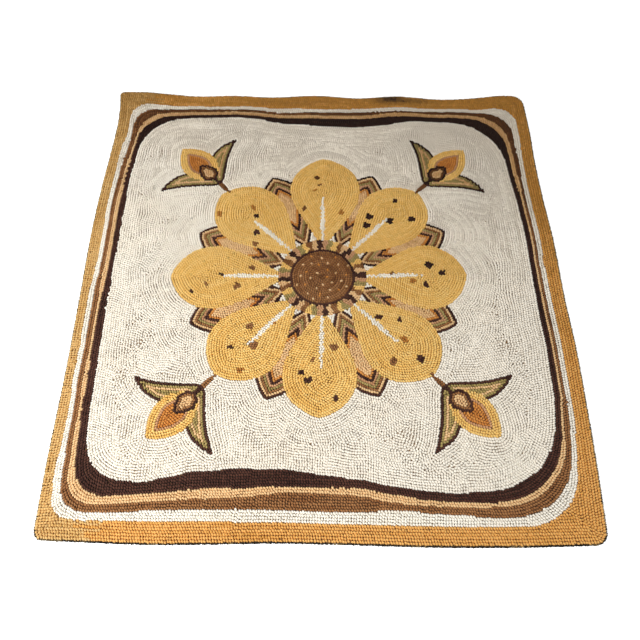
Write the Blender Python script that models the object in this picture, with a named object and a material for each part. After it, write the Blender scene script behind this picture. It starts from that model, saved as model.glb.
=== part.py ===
"""Hooked rug, lying flat: rows of yarn loops pulled up through a cloth foundation with a turned hem.

The rug is one piece, so it is one solid. It stands on its underside at Z = 0 and reaches up to the tops
of the loops. X runs across the rug, and Y from the near edge to the far edge. The edge was drawn and
hooked by hand, so each side wanders a little and no two corners are alike.
"""
from collections import namedtuple
from math import cos, pi, sin

import bmesh
import bpy
import numpy as np

# Driving dimensions, in metres
WIDTH = 1.275
LENGTH = 1.360
FOUNDATION = 0.002
PILE = 0.008
THICKNESS = FOUNDATION + PILE

# The outermost loops lean over the hem, which rounds the upper rim.
RIM_RADIUS = 0.005
RIM_STEPS = 3

# Fineness of the outline
SIDE_STEP = 0.030
CORNER_STEPS = 6
WELD_DISTANCE = 0.0001

YARN_COLOUR = (0.62, 0.46, 0.27, 1.0)
YARN_ROUGHNESS = 0.9

# Each side's wander: "along" is the place on the side from its middle, increasing with X or Y, and "out"
# is how far the edge stands outside the plain rectangle there, in metres.
Station = namedtuple("Station", "along out")

NEAR_EDGE = (
    Station(along=-0.62, out=-0.015),
    Station(along=-0.54, out=-0.012),
    Station(along=-0.38, out=-0.006),
    Station(along=-0.24, out=-0.007),
    Station(along=-0.10, out=-0.009),
    Station(along=0.08, out=-0.005),
    Station(along=0.22, out=-0.001),
    Station(along=0.40, out=0.000),
    Station(along=0.62, out=-0.005),
)
RIGHT_EDGE = (
    Station(along=-0.66, out=-0.012),
    Station(along=-0.50, out=-0.005),
    Station(along=-0.34, out=-0.001),
    Station(along=-0.20, out=0.000),
    Station(along=-0.05, out=-0.004),
    Station(along=0.13, out=-0.003),
    Station(along=0.26, out=-0.009),
    Station(along=0.40, out=-0.012),
    Station(along=0.50, out=-0.010),
    Station(along=0.65, out=-0.013),
)
FAR_EDGE = (
    Station(along=-0.62, out=0.000),
    Station(along=-0.55, out=-0.001),
    Station(along=-0.48, out=-0.011),
    Station(along=-0.40, out=-0.020),
    Station(along=-0.28, out=-0.017),
    Station(along=-0.15, out=-0.026),
    Station(along=-0.01, out=-0.018),
    Station(along=0.12, out=-0.030),
    Station(along=0.24, out=-0.023),
    Station(along=0.38, out=-0.034),
    Station(along=0.47, out=-0.030),
    Station(along=0.56, out=-0.018),
    Station(along=0.62, out=-0.018),
)
LEFT_EDGE = (
    Station(along=-0.66, out=-0.002),
    Station(along=-0.50, out=0.000),
    Station(along=-0.28, out=-0.003),
    Station(along=-0.05, out=-0.002),
    Station(along=0.15, out=0.000),
    Station(along=0.32, out=-0.005),
    Station(along=0.46, out=-0.013),
    Station(along=0.55, out=-0.016),
    Station(along=0.62, out=-0.013),
    Station(along=0.67, out=-0.007),
)

# Radius of each corner, named by the two sides that meet there
CORNER_RADIUS = {
    "near_left": 0.020,
    "near_right": 0.028,
    "far_right": 0.034,
    "far_left": 0.012,
}


def edge_wander(stations, along):
    """Outward shift at each place: cubic pieces through the stations, with central-difference slopes."""
    places = np.array([station.along for station in stations])
    shifts = np.array([station.out for station in stations])
    slopes = np.gradient(shifts, places)
    piece = np.clip(np.searchsorted(places, along) - 1, 0, len(places) - 2)
    span = places[piece + 1] - places[piece]
    t = np.clip((along - places[piece]) / span, 0.0, 1.0)
    leave = (1 + 2 * t) * (1 - t) ** 2 * shifts[piece] + t * (1 - t) ** 2 * span * slopes[piece]
    reach = t * t * (3 - 2 * t) * shifts[piece + 1] + t * t * (t - 1) * span * slopes[piece + 1]
    return leave + reach


def side_places(start, end):
    """Evenly spaced places along a side, between the rounds of its two corners."""
    count = round(abs(end - start) / SIDE_STEP)
    return np.linspace(start, end, count)


def square_corner(x_edge, x_sign, y_edge, y_sign, radius):
    """Where two sides would meet if they ran straight on from the ends of their corner's round."""
    half_width = WIDTH / 2
    half_length = LENGTH / 2
    x = x_sign * (half_width + edge_wander(x_edge, y_sign * (half_length - radius)))
    y = y_sign * (half_length + edge_wander(y_edge, x_sign * (half_width - radius)))
    return float(x), float(y)


def corner_points(corner, inward_x, inward_y, radius, start_angle):
    """Inner points of the quarter circle that rounds a corner, counter-clockwise from its start angle."""
    centre_x = corner[0] + inward_x * radius
    centre_y = corner[1] + inward_y * radius
    angles = [start_angle + pi / 2 * step / CORNER_STEPS for step in range(1, CORNER_STEPS)]
    return [(centre_x + radius * cos(angle), centre_y + radius * sin(angle)) for angle in angles]


def rug_outline():
    """The rug's edge as a closed run of points, counter-clockwise from the near left corner."""
    half_width = WIDTH / 2
    half_length = LENGTH / 2
    radius = CORNER_RADIUS
    near_left = square_corner(LEFT_EDGE, -1, NEAR_EDGE, -1, radius["near_left"])
    near_right = square_corner(RIGHT_EDGE, 1, NEAR_EDGE, -1, radius["near_right"])
    far_right = square_corner(RIGHT_EDGE, 1, FAR_EDGE, 1, radius["far_right"])
    far_left = square_corner(LEFT_EDGE, -1, FAR_EDGE, 1, radius["far_left"])

    across = side_places(near_left[0] + radius["near_left"], near_right[0] - radius["near_right"])
    near = np.column_stack((across, -half_length - edge_wander(NEAR_EDGE, across)))

    upward = side_places(near_right[1] + radius["near_right"], far_right[1] - radius["far_right"])
    right = np.column_stack((half_width + edge_wander(RIGHT_EDGE, upward), upward))

    across = side_places(far_right[0] - radius["far_right"], far_left[0] + radius["far_left"])
    far = np.column_stack((across, half_length + edge_wander(FAR_EDGE, across)))

    downward = side_places(far_left[1] - radius["far_left"], near_left[1] + radius["near_left"])
    left = np.column_stack((-half_width - edge_wander(LEFT_EDGE, downward), downward))

    points = list(near)
    points += corner_points(near_right, -1, 1, radius["near_right"], -pi / 2)
    points += list(right)
    points += corner_points(far_right, -1, -1, radius["far_right"], 0.0)
    points += list(far)
    points += corner_points(far_left, 1, -1, radius["far_left"], pi / 2)
    points += list(left)
    points += corner_points(near_left, 1, 1, radius["near_left"], pi)
    return points


def flat_slab(name, outline, thickness):
    """A closed flat mesh of the outline, from a filled 2D curve with half the thickness each way."""
    curve = bpy.data.curves.new(name + "_outline", "CURVE")
    curve.dimensions = "2D"
    curve.fill_mode = "BOTH"
    curve.extrude = thickness / 2
    spline = curve.splines.new("POLY")
    spline.points.add(len(outline) - 1)
    for point, (x, y) in zip(spline.points, outline):
        point.co = (x, y, 0.0, 1.0)
    spline.use_cyclic_u = True

    guide = bpy.data.objects.new(name + "_outline", curve)
    bpy.context.scene.collection.objects.link(guide)
    bpy.context.view_layer.update()
    evaluated = guide.evaluated_get(bpy.context.evaluated_depsgraph_get())
    mesh = bpy.data.meshes.new_from_object(evaluated)
    mesh.name = name
    bpy.data.objects.remove(guide)
    return mesh


def soften_and_seat(mesh, thickness):
    """Weld the slab, round its upper rim, and seat it on Z = 0 with its box centred on the Z axis."""
    body = bmesh.new()
    body.from_mesh(mesh)
    bmesh.ops.remove_doubles(body, verts=body.verts, dist=WELD_DISTANCE)
    top = thickness / 2 - WELD_DISTANCE
    rim = [
        edge
        for edge in body.edges
        if all(vert.co.z > top for vert in edge.verts) and edge.calc_face_angle(0.0) > pi / 4
    ]
    bmesh.ops.bevel(
        body,
        geom=rim,
        offset=RIM_RADIUS,
        segments=RIM_STEPS,
        profile=0.5,
        affect="EDGES",
        clamp_overlap=True,
    )
    xs = [vert.co.x for vert in body.verts]
    ys = [vert.co.y for vert in body.verts]
    middle = ((min(xs) + max(xs)) / 2, (min(ys) + max(ys)) / 2)
    bmesh.ops.translate(body, verts=body.verts, vec=(-middle[0], -middle[1], thickness / 2))
    bmesh.ops.recalc_face_normals(body, faces=body.faces)
    body.to_mesh(mesh)
    body.free()


def yarn_material():
    """Plain wool in the rug's average colour."""
    material = bpy.data.materials.new("hooked_wool")
    material.use_nodes = True
    shader = material.node_tree.nodes["Principled BSDF"]
    shader.inputs["Base Color"].default_value = YARN_COLOUR
    shader.inputs["Roughness"].default_value = YARN_ROUGHNESS
    shader.inputs["Metallic"].default_value = 0.0
    return material


def build():
    for old in list(bpy.data.objects):
        bpy.data.objects.remove(old)

    collection = bpy.data.collections.new("hooked_rug")
    bpy.context.scene.collection.children.link(collection)

    mesh = flat_slab("rug", rug_outline(), THICKNESS)
    soften_and_seat(mesh, THICKNESS)
    mesh.materials.append(yarn_material())
    rug = bpy.data.objects.new("rug", mesh)
    collection.objects.link(rug)
    print("rug size in metres:", tuple(round(side, 4) for side in rug.dimensions))


build()
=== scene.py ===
# %% [markdown]
# # A hooked wool rug, lying flat
#
# A hooked rug is made by pulling one strand of wool up through an open cloth, loop by loop and row by
# row. So it is two things: a thin cloth foundation with its edge turned under, and some forty thousand
# small loops of yarn. This lesson makes both with numpy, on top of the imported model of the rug.

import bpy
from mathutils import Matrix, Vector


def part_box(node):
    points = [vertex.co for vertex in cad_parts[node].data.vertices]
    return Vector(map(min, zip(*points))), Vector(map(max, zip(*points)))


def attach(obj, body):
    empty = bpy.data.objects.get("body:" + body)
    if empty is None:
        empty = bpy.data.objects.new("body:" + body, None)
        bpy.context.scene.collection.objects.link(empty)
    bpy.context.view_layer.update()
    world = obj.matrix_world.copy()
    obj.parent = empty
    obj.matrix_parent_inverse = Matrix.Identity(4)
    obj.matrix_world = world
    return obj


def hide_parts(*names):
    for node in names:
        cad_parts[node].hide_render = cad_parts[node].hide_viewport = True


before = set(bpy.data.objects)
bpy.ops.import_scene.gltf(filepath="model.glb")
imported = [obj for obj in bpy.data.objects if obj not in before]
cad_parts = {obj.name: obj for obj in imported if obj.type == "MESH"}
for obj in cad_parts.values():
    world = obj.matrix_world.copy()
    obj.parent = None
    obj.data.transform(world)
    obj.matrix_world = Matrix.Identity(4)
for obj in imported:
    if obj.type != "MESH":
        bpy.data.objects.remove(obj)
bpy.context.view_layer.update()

# %% Libraries
from collections import namedtuple
from math import cos, pi, radians, sin

import bpy
import numpy as np
from mathutils import Vector

# %% [markdown]
# ## Sizes
#
# Everything follows from the rug's box and from the hooker's gauge: how far apart the rows lie, and how
# far apart the loops in a row. Four loops and a little under four rows to the inch is usual for yarn.

# %% Driving sizes
low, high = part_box("rug")
RUG_WIDTH = high.x - low.x
RUG_LENGTH = high.y - low.y
ROW = 0.0067
PITCH = 0.0062
FOUNDATION_TOP = 0.0020
MM = 0.001
random = np.random.default_rng(41)
print("rug:", round(RUG_WIDTH, 3), "x", round(RUG_LENGTH, 3), "m, about",
      round(RUG_WIDTH * RUG_LENGTH / ROW / PITCH), "loops")

# %% [markdown]
# ## Camera, light and floor
#
# The rug lies on the floor and is seen from above its near edge, by someone standing over it. One large
# soft lamp stands off its near left corner, so the light fades towards the far right. A weak lamp
# overhead and a pale sky fill the gaps between the loops. The floor glows, which keeps it an even white.

# %% Camera
EYE = Vector((-0.006, -0.8756, 1.476))
TILT_FROM_STRAIGHT_DOWN = radians(27.06)
SENSOR = 36.0
LENS = 36.06

camera_data = bpy.data.cameras.new("camera")
camera_data.sensor_width = SENSOR
camera_data.lens = LENS
camera_data.clip_end = 50.0
camera = bpy.data.objects.new("camera", camera_data)
camera.location = EYE
camera.rotation_euler = (TILT_FROM_STRAIGHT_DOWN, 0.0, 0.0)
bpy.context.scene.collection.objects.link(camera)
bpy.context.scene.camera = camera
bpy.context.scene.view_settings.view_transform = "Standard"
print("camera", [round(value, 2) for value in EYE], "tilt", round(TILT_FROM_STRAIGHT_DOWN, 3))


# %% Lamps and sky
def soft_lamp(name, place, aim, size, power, warmth=(1.0, 1.0, 1.0)):
    """A square area lamp at a place, turned so that its -Z looks at the aim."""
    data = bpy.data.lights.new(name, "AREA")
    data.size = size
    data.energy = power
    data.color = warmth
    lamp = bpy.data.objects.new(name, data)
    lamp.location = place
    lamp.rotation_euler = (Vector(aim) - Vector(place)).to_track_quat("-Z", "Y").to_euler()
    bpy.context.scene.collection.objects.link(lamp)


soft_lamp("window_lamp", place=(-1.05, -1.30, 1.80), aim=(-0.22, -0.25, 0.0), size=1.6, power=71.0,
          warmth=(1.0, 0.985, 0.96))
soft_lamp("ceiling_lamp", place=(0.0, 0.3, 3.2), aim=(0.0, 0.0, 0.0), size=2.5, power=8.0)

SKY_STRENGTH = 0.14
sky = bpy.data.worlds.new("pale_sky")
sky.use_nodes = True
background = sky.node_tree.nodes["Background"]
background.inputs["Color"].default_value = (1.0, 1.0, 1.0, 1.0)
background.inputs["Strength"].default_value = SKY_STRENGTH
bpy.context.scene.world = sky
print("lamps:", [light.name for light in bpy.data.lights], "sky:", SKY_STRENGTH)


# %% Floor
def floor_material():
    """Matt white, with a faint even glow of its own."""
    material = bpy.data.materials.new("pale_floor")
    material.use_nodes = True
    shader = material.node_tree.nodes["Principled BSDF"]
    shader.inputs["Base Color"].default_value = (0.86, 0.86, 0.86, 1.0)
    shader.inputs["Roughness"].default_value = 0.8
    shader.inputs["Emission Color"].default_value = (1.0, 1.0, 1.0, 1.0)
    shader.inputs["Emission Strength"].default_value = 0.75
    return material


FLOOR_REACH = 12.0
FLOOR_DROP = 0.4 * MM
floor_mesh = bpy.data.meshes.new("floor")
floor_corners = [(x * FLOOR_REACH, y * FLOOR_REACH, low.z - FLOOR_DROP)
                 for x, y in ((-1, -1), (1, -1), (1, 1), (-1, 1))]
floor_mesh.from_pydata(floor_corners, [], [(0, 1, 2, 3)])
floor_mesh.materials.append(floor_material())
floor = bpy.data.objects.new("floor", floor_mesh)
bpy.context.scene.collection.objects.link(floor)
print("floor:", 2 * FLOOR_REACH, "m square")

# %% [markdown]
# ## Working with closed curves
#
# A hooker draws the pattern as lines on the cloth and then works row after row beside them. The same is
# done here: every line is a closed curve of points, counter-clockwise, and a row is the curve moved
# sideways by so many row widths. A few small helpers do this with whole arrays.

# %% Curve helpers
BLOCK = 3000  # points in one block of a large comparison
FINE = 0.002  # spacing of the points on every line, in metres
COARSE = 4  # one fine point in so many is enough to tell inside from outside


def even_curve(curve, spacing):
    """Points at even arc length round a closed curve, as many as fit a whole number of times."""
    closed = np.vstack((curve, curve[:1]))
    reach = np.concatenate(([0.0], np.cumsum(np.linalg.norm(np.diff(closed, axis=0), axis=1))))
    count = max(3, round(reach[-1] / spacing))
    places = np.linspace(0.0, reach[-1], count, endpoint=False)
    return np.column_stack([np.interp(places, reach, closed[:, axis]) for axis in (0, 1)])


def smooth_curve(curve, passes):
    """Each point drawn to the mean of itself and its two neighbours, a few times over."""
    for _ in range(passes):
        curve = (np.roll(curve, 1, axis=0) + curve + np.roll(curve, -1, axis=0)) / 3
    return curve


def headings(curve):
    """Direction of travel at each point, as a unit vector from the point before to the point after."""
    ahead = np.roll(curve, -1, axis=0) - np.roll(curve, 1, axis=0)
    return ahead / np.maximum(np.linalg.norm(ahead, axis=1, keepdims=True), 1e-9)


def moved_sideways(curve, distance):
    """The curve moved to its left by a distance, which is inwards when it runs counter-clockwise.

    The distance is one number, or a column of one number for each point."""
    ahead = headings(curve)
    return curve + distance * np.column_stack((-ahead[:, 1], ahead[:, 0]))


def clearance(points, curve):
    """Distance from each point to the nearest point of the curve, a block of points at a time.

    The square of a distance is p.p - 2 p.c + c.c, so one matrix product gives a whole block."""
    curve_square = (curve ** 2).sum(axis=1)
    nearest = np.empty(len(points))
    for first in range(0, len(points), BLOCK):
        block = points[first:first + BLOCK]
        least = (curve_square - 2 * block @ curve.T).min(axis=1) + (block ** 2).sum(axis=1)
        nearest[first:first + BLOCK] = np.sqrt(least.clip(0.0))
    return nearest


def box_distance(points, curve):
    """Distance from each point to the curve's upright box, zero inside it: never more than clearance."""
    outside = np.maximum(curve.min(axis=0) - points, points - curve.max(axis=0)).clip(0.0)
    return np.hypot(outside[:, 0], outside[:, 1])


def inside(points, curve):
    """True where a line from the point out along +X crosses the curve an odd number of times."""
    curve = curve[::COARSE]
    x0, y0 = curve.T
    x1, y1 = np.roll(curve, -1, axis=0).T
    slope = (x1 - x0) / np.where(y1 == y0, 1e-12, y1 - y0)
    within = np.zeros(len(points), bool)
    box = (points > curve.min(axis=0)).all(axis=1) & (points < curve.max(axis=0)).all(axis=1)
    near = np.flatnonzero(box)
    for first in range(0, len(near), BLOCK):
        block = near[first:first + BLOCK]
        x, y = points[block, 0, None], points[block, 1, None]
        crossed = ((y0 > y) != (y1 > y)) & (x < x0 + (y - y0) * slope)
        within[block] = crossed.sum(axis=1) % 2 == 1
    return within


# %% Neighbours
def close_pairs(points, others, reach):
    """Index pairs (i, j) and their distance, for each points[i] nearer than reach to others[j].

    The others are sorted into square cells as wide as the reach, so only nine cells are searched."""
    corner = others.min(axis=0) - 2 * reach
    columns = int((others[:, 0].max() - corner[0]) / reach) + 4
    cell = np.floor((others - corner) / reach).astype(int)
    key = cell[:, 0] + columns * cell[:, 1]
    order = np.argsort(key, kind="stable")
    key = key[order]
    own = np.floor((points - corner) / reach).astype(int)
    found = []
    for step_x in (-1, 0, 1):
        for step_y in (-1, 0, 1):
            wanted = own[:, 0] + step_x + columns * (own[:, 1] + step_y)
            first = np.searchsorted(key, wanted, "left")
            count = np.searchsorted(key, wanted, "right") - first
            i = np.repeat(np.arange(len(points)), count)
            rank = np.arange(count.sum()) - np.repeat(np.cumsum(count) - count, count)
            j = order[np.repeat(first, count) + rank]
            apart = np.linalg.norm(points[i] - others[j], axis=1)
            near = apart < reach
            found.append((i[near], j[near], apart[near]))
    return [np.concatenate(parts) for parts in zip(*found)]


# %% [markdown]
# ## The rug's edge
#
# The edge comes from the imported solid: the points of its underside, put in order round the middle.

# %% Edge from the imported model
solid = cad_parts["rug"].data
places = np.empty(len(solid.vertices) * 3)
solid.vertices.foreach_get("co", places)
places = places.reshape(-1, 3)
on_floor = places[:, 2] < low.z + 0.1 * MM
foot = np.unique(places[on_floor][:, :2].round(6), axis=0)
foot = foot[np.argsort(np.arctan2(foot[:, 1], foot[:, 0]))]
edge = even_curve(foot, FINE)
print("edge:", len(foot), "points,", round(len(edge) * FINE, 2), "m round")

# %% [markdown]
# ## The border lines
#
# Five bands frame the field: gold outside, then cream, brown, tan and dark. Each band is counted in
# rows, and the counts change along the sides, because the border was drawn by eye: the near side's
# bands swell to the left of its middle. The tables give the rows of each band at places along a side.
# At a corner each line turns on a radius of its own, tight outside and wide inside.
#
# A line is then worked out from the rug's edge: so many rows inwards along each side, with a cubic
# round each corner.

# %% Border tables
Bands = namedtuple("Bands", "along gold cream brown tan dark")

NEAR_SIDE = (
    Bands(along=-0.50, gold=6.6, cream=2.5, brown=2.5, tan=3.1, dark=4.7),
    Bands(along=-0.40, gold=7.0, cream=3.4, brown=3.1, tan=2.5, dark=4.2),
    Bands(along=-0.30, gold=7.0, cream=3.9, brown=3.4, tan=3.4, dark=5.8),
    Bands(along=-0.20, gold=6.6, cream=4.3, brown=3.4, tan=3.4, dark=6.6),
    Bands(along=-0.10, gold=6.4, cream=3.9, brown=5.6, tan=2.2, dark=5.9),
    Bands(along=0.00, gold=6.1, cream=3.8, brown=6.1, tan=2.2, dark=4.0),
    Bands(along=0.10, gold=6.3, cream=4.0, brown=5.1, tan=2.5, dark=2.7),
    Bands(along=0.14, gold=6.4, cream=4.7, brown=2.7, tan=2.8, dark=2.6),
    Bands(along=0.20, gold=6.4, cream=4.5, brown=2.2, tan=2.5, dark=2.6),
    Bands(along=0.30, gold=6.3, cream=3.7, brown=2.5, tan=1.4, dark=3.1),
    Bands(along=0.40, gold=6.2, cream=2.7, brown=3.6, tan=1.4, dark=3.9),
    Bands(along=0.50, gold=6.2, cream=3.7, brown=4.2, tan=2.0, dark=4.6),
)
RIGHT_SIDE = (
    Bands(along=-0.50, gold=6.6, cream=2.8, brown=2.5, tan=1.5, dark=3.6),
    Bands(along=-0.45, gold=5.8, cream=1.6, brown=1.9, tan=1.3, dark=3.0),
    Bands(along=-0.40, gold=5.0, cream=2.0, brown=1.9, tan=1.1, dark=2.2),
    Bands(along=-0.34, gold=5.1, cream=1.5, brown=1.3, tan=1.0, dark=2.1),
    Bands(along=-0.25, gold=5.1, cream=1.7, brown=1.1, tan=1.0, dark=2.0),
    Bands(along=-0.15, gold=5.0, cream=1.9, brown=1.0, tan=1.0, dark=2.1),
    Bands(along=-0.05, gold=5.1, cream=1.9, brown=0.9, tan=1.0, dark=1.9),
    Bands(along=0.05, gold=5.5, cream=1.7, brown=0.8, tan=1.2, dark=1.6),
    Bands(along=0.15, gold=5.1, cream=1.9, brown=0.9, tan=1.2, dark=1.6),
    Bands(along=0.25, gold=5.0, cream=2.0, brown=1.0, tan=1.3, dark=1.6),
    Bands(along=0.35, gold=4.9, cream=2.3, brown=1.3, tan=1.5, dark=2.0),
    Bands(along=0.40, gold=4.6, cream=2.1, brown=1.9, tan=1.7, dark=2.4),
    Bands(along=0.45, gold=4.8, cream=2.5, brown=2.2, tan=1.5, dark=3.2),
    Bands(along=0.50, gold=4.7, cream=2.6, brown=2.6, tan=1.4, dark=4.0),
)
FAR_SIDE = (
    Bands(along=-0.50, gold=6.9, cream=2.8, brown=2.4, tan=2.2, dark=4.4),
    Bands(along=-0.40, gold=6.3, cream=1.5, brown=1.6, tan=1.7, dark=1.8),
    Bands(along=-0.30, gold=6.6, cream=1.6, brown=1.4, tan=1.9, dark=1.6),
    Bands(along=-0.20, gold=6.2, cream=1.7, brown=1.4, tan=1.7, dark=2.0),
    Bands(along=-0.10, gold=6.9, cream=2.7, brown=1.4, tan=1.7, dark=3.7),
    Bands(along=0.00, gold=8.2, cream=2.0, brown=1.6, tan=2.0, dark=4.8),
    Bands(along=0.10, gold=6.3, cream=2.3, brown=1.8, tan=1.9, dark=5.2),
    Bands(along=0.20, gold=6.3, cream=2.1, brown=1.3, tan=2.0, dark=4.8),
    Bands(along=0.30, gold=6.3, cream=1.9, brown=1.3, tan=1.9, dark=2.4),
    Bands(along=0.40, gold=5.4, cream=2.0, brown=1.6, tan=1.6, dark=3.4),
    Bands(along=0.50, gold=7.2, cream=2.0, brown=2.0, tan=2.0, dark=6.0),
)
LEFT_SIDE = (
    Bands(along=-0.48, gold=3.4, cream=2.5, brown=1.6, tan=2.1, dark=3.3),
    Bands(along=-0.38, gold=3.8, cream=1.9, brown=1.5, tan=1.3, dark=2.9),
    Bands(along=-0.30, gold=3.2, cream=1.9, brown=1.7, tan=1.4, dark=2.9),
    Bands(along=-0.20, gold=3.3, cream=1.9, brown=1.7, tan=1.2, dark=2.8),
    Bands(along=-0.10, gold=3.2, cream=2.2, brown=1.7, tan=1.2, dark=2.4),
    Bands(along=-0.01, gold=3.3, cream=2.2, brown=1.6, tan=1.5, dark=2.4),
    Bands(along=0.03, gold=4.2, cream=1.9, brown=1.3, tan=1.5, dark=2.2),
    Bands(along=0.10, gold=4.5, cream=1.6, brown=1.5, tan=1.5, dark=2.4),
    Bands(along=0.18, gold=4.4, cream=1.6, brown=1.5, tan=1.5, dark=2.4),
    Bands(along=0.25, gold=4.2, cream=1.5, brown=1.6, tan=1.5, dark=2.5),
    Bands(along=0.35, gold=4.0, cream=2.2, brown=1.5, tan=1.3, dark=2.0),
    Bands(along=0.40, gold=3.7, cream=2.4, brown=1.8, tan=1.4, dark=2.2),
    Bands(along=0.45, gold=3.9, cream=2.7, brown=2.2, tan=1.1, dark=1.9),
    Bands(along=0.50, gold=5.0, cream=2.2, brown=2.3, tan=1.0, dark=2.5),
)

# Radius in metres of each line's turn, named by the band that lies outside the line
Turns = namedtuple("Turns", "gold cream brown tan dark")
NEAR_RIGHT_TURN = Turns(gold=0.135, cream=0.150, brown=0.155, tan=0.160, dark=0.160)
FAR_RIGHT_TURN = Turns(gold=0.060, cream=0.090, brown=0.110, tan=0.120, dark=0.145)
FAR_LEFT_TURN = Turns(gold=0.050, cream=0.060, brown=0.085, tan=0.095, dark=0.120)
NEAR_LEFT_TURN = Turns(gold=0.055, cream=0.070, brown=0.075, tan=0.080, dark=0.105)
print("stations:", [len(side) for side in (NEAR_SIDE, RIGHT_SIDE, FAR_SIDE, LEFT_SIDE)])


# %% Border lines
HANDLE = 0.5523  # length of a cubic's handle, as a share of a quarter circle's radius
ON_SIDE = 0.45  # points of the edge further than this from the middle line belong to a side
SIDE_END = 0.5  # place along a side, from its middle, where the corner is worked out
SIDE_POINTS = 60
TURN_POINTS = 14
SMOOTHINGS = 20


def side_line(side, axis, sign, band):
    """One side's line: the edge there, moved inwards by the rows of the bands outside the line.

    Returns a function of the place along the side that gives the line's distance from the middle."""
    upright = 1 - axis
    on_side = foot[sign * foot[:, upright] > ON_SIDE]
    on_side = on_side[np.argsort(on_side[:, axis])]
    last = Bands._fields.index(band)
    along = np.array([place.along for place in side])
    rows = np.array([sum(place[1:last + 1]) for place in side])

    def distance(at):
        out = sign * np.interp(at, on_side[:, axis], on_side[:, upright])
        return sign * (out - ROW * np.interp(at, along, rows))

    return distance


def turn_points(start, corner, end):
    """A rounded corner: a cubic from start to end whose handles reach towards the square corner."""
    t = np.linspace(0.0, 1.0, TURN_POINTS)[:, None]
    first = start + HANDLE * (corner - start)
    second = end + HANDLE * (corner - end)
    return ((1 - t) ** 3 * start + 3 * (1 - t) ** 2 * t * first
            + 3 * (1 - t) * t ** 2 * second + t ** 3 * end)


def border_line(band):
    """The closed line inside one band: four sides that follow the edge, joined by rounded corners."""
    near = side_line(NEAR_SIDE, 0, -1, band)
    right = side_line(RIGHT_SIDE, 1, 1, band)
    far = side_line(FAR_SIDE, 0, 1, band)
    left = side_line(LEFT_SIDE, 1, -1, band)
    near_left, near_right, far_right, far_left = [
        getattr(turn, band) for turn in (NEAR_LEFT_TURN, NEAR_RIGHT_TURN, FAR_RIGHT_TURN, FAR_LEFT_TURN)]
    x = np.linspace(left(-SIDE_END) + near_left, right(-SIDE_END) - near_right, SIDE_POINTS)
    y = np.linspace(near(SIDE_END) + near_right, far(SIDE_END) - far_right, SIDE_POINTS)
    near_run = np.column_stack((x, near(x)))
    right_run = np.column_stack((right(y), y))
    x = np.linspace(right(SIDE_END) - far_right, left(SIDE_END) + far_left, SIDE_POINTS)
    y = np.linspace(far(-SIDE_END) - far_left, near(-SIDE_END) + near_left, SIDE_POINTS)
    far_run = np.column_stack((x, far(x)))
    left_run = np.column_stack((left(y), y))
    runs = [near_run, right_run, far_run, left_run]
    parts = []
    for index, run in enumerate(runs):
        following = runs[(index + 1) % 4]
        if index % 2 == 0:
            corner = np.array((following[0, 0], run[-1, 1]))
        else:
            corner = np.array((run[-1, 0], following[0, 1]))
        parts += [run[:-1], turn_points(run[-1], corner, following[0])[:-1]]
    return smooth_curve(even_curve(np.vstack(parts), FINE), SMOOTHINGS)


BAND_NAMES = ("gold", "cream", "brown", "tan", "dark")
LINES = {band: border_line(band) for band in BAND_NAMES}
for band in BAND_NAMES:
    reach = LINES[band].max(axis=0) - LINES[band].min(axis=0)
    print("line inside", band, "is", reach.round(3), "m across and along")

# %% [markdown]
# ## The field
#
# Inside the border lies a cream field with one large golden flower and a bud in each corner, in the
# plain manner of farmhouse rugs. Each shape is a leaf form: it starts and ends in a point, and it is
# widest somewhere between. A shape is hooked from its outline inwards, so its stripes are simply rows of
# other yarns. The shapes are a little uneven, as if drawn by hand.

# %% Leaf form
Motif = namedtuple("Motif", "name outline yarns spots")
MIDDLE = (LINES["dark"].min(axis=0) + LINES["dark"].max(axis=0)) / 2
SPINE_POINTS = 40


def leaf_outline(root, angle, length, half_width, fullest, roundness, bend=0.0):
    """A leaf: its spine is a shallow arc, and its half width is a sine of the way along, to a power.

    "fullest" is the share of the length at which it is widest, and a low roundness fills its ends."""
    t = (1 - np.cos(np.linspace(0.0, pi, SPINE_POINTS))) / 2
    skew = np.log(0.5) / np.log(fullest)
    half = half_width * np.sin(pi * t ** skew).clip(0.0) ** roundness
    spine_x = length * t
    spine_y = bend * np.sin(pi * t)
    slope = np.arctan2(bend * pi * np.cos(pi * t), length)
    side = np.column_stack((-np.sin(slope), np.cos(slope))) * half[:, None]
    spine = np.column_stack((spine_x, spine_y))
    shape = np.vstack((spine - side, (spine + side)[-2:0:-1]))
    turn = np.array(((cos(angle), sin(angle)), (-sin(angle), cos(angle))))
    return even_curve(shape @ turn + np.asarray(root), FINE)


def ring_outline(centre, radius):
    """A circle of points, counter-clockwise."""
    angle = np.linspace(0.0, 2 * pi, round(2 * pi * radius / FINE), endpoint=False)
    return np.asarray(centre) + radius * np.column_stack((np.cos(angle), np.sin(angle)))


def out_from(centre, angle, distance):
    """The point at a distance from the centre, in the direction of the angle."""
    return np.asarray(centre) + distance * np.array((cos(angle), sin(angle)))


# %% Flower
PETALS = 8
PETAL_ROOT = 0.095
PETAL_LENGTH = 0.300
PETAL_HALF_WIDTH = 0.098
BACK_PETAL_LENGTH = 0.270
BACK_PETAL_HALF_WIDTH = 0.070
BACK_PETAL_YARNS = ("dark", "tan", "brown", "olive", "pink_tan", "dark", "orange", "tan")
VEIN_LENGTH = 0.170
VEIN_HALF_WIDTH = 0.006
SPOTS_IN_PETAL = 5
SPOT_YARNS = ("dark", "dark", "brown", "ochre")
COLLAR_RADIUS = 0.118
HEAD_RADIUS = 0.088
SEEDS = 30
SEED_RADIUS = 3.6 * MM
SEEDS_REACH = 0.86  # of the seed head's radius
GOLDEN_ANGLE = pi * (3 - 5 ** 0.5)  # turns each seed past the last, so that they never line up

Spot = namedtuple("Spot", "centre radius yarn")


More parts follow.
